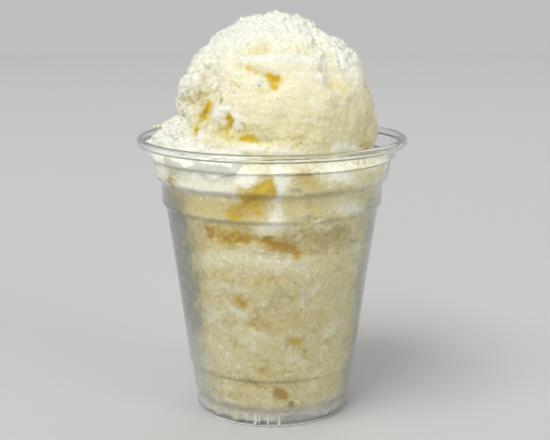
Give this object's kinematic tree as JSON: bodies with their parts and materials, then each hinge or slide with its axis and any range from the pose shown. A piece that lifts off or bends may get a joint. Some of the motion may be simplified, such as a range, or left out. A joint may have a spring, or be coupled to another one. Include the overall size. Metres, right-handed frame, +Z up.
{
  "type": "cup of ice cream",
  "caption": "Clear tapered cup packed with crumbly pale ice cream, with a tall rounded scoop rising above its rolled rim.",
  "frame": {"origin": "centre of the cup's foot, on the surface it stands on", "axes": "+Z up along the cup's axis, -Y towards the side with the open clefts, +X to the right of that view"},
  "size_m": [0.098, 0.098, 0.1459],
  "materials": {
    "clear_plastic": "clear, smooth, glossy formed sheet",
    "ice_cream": "crumbly, damp, pale cream with amber hollows",
    "white_ice_cream": "crumbly, frosty white"
  },
  "bodies": {
    "root": {"cup": "clear_plastic", "lower_scoop": "ice_cream", "middle_scoop": "ice_cream", "side_chunk": "white_ice_cream", "top_scoop": "ice_cream"}
  },
  "joints": []
}
